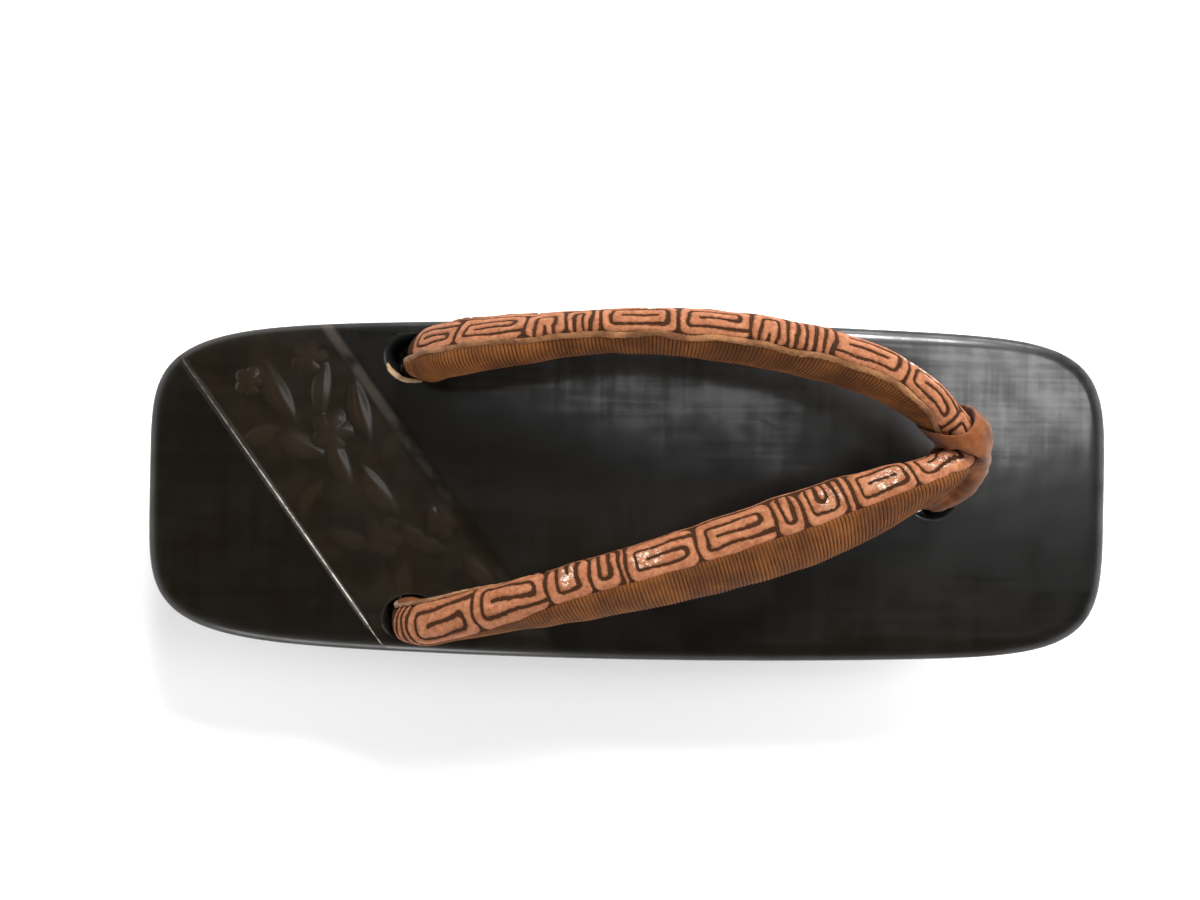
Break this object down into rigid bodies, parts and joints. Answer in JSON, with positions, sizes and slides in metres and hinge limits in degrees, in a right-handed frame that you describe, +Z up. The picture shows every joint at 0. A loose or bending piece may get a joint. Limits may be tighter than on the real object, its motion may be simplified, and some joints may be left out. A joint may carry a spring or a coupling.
{
  "type": "geta sandal",
  "caption": "Wooden platform sandal with a flat lacquered deck on carved cross teeth and a stuffed fabric thong strap tied down by a velvet toe loop.",
  "frame": {"origin": "on the floor, below the middle of the deck's outline", "axes": "+X from heel to toe, +Y to the side that the strap's fold leans to, +Z up out of the deck"},
  "size_m": [0.22, 0.078, 0.0812],
  "materials": {
    "lacquered_wood": "satin-gloss black lacquer over carved wood",
    "strap_fabric": "copper print on dark cloth, ribbed brown lining",
    "loop_velvet": "short brown velvet pile"
  },
  "bodies": {
    "root": {"sole": "lacquered_wood", "strap": "strap_fabric", "toe_loop": "loop_velvet"}
  },
  "joints": []
}
